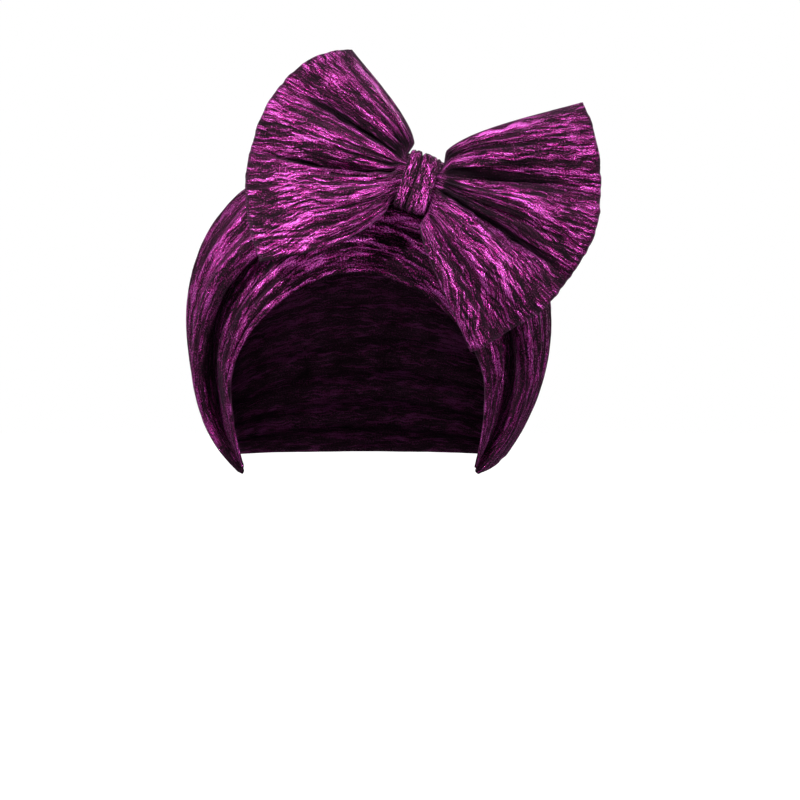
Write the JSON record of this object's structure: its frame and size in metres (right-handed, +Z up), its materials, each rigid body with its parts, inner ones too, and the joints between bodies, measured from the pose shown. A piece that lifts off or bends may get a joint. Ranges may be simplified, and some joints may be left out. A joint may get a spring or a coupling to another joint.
{
  "type": "bow turban hat",
  "caption": "Slip-on turban with a puffed pleated crown, a pleated brow band and a large two-winged bow tied with a wrapped knot, held in its worn form.",
  "frame": {"origin": "inner top centre of the crown, where it bears on the top of a head", "axes": "+Z up along the wearer's head, -Y out through the face opening, +X to the right of someone who looks at the face"},
  "size_m": [0.2216, 0.2476, 0.2266],
  "materials": {
    "crown_foil_knit": "crinkled purple-black knit with magenta foil print",
    "band_foil_knit": "crinkled purple-black knit with magenta foil print",
    "bow_foil_knit": "crinkled purple-black knit with bright magenta foil print",
    "knot_foil_knit": "folded purple-black knit with magenta foil print"
  },
  "bodies": {
    "root": {"crown": "crown_foil_knit", "brow_band": "band_foil_knit", "bow_panel": "bow_foil_knit", "bow_knot": "knot_foil_knit"}
  },
  "joints": []
}
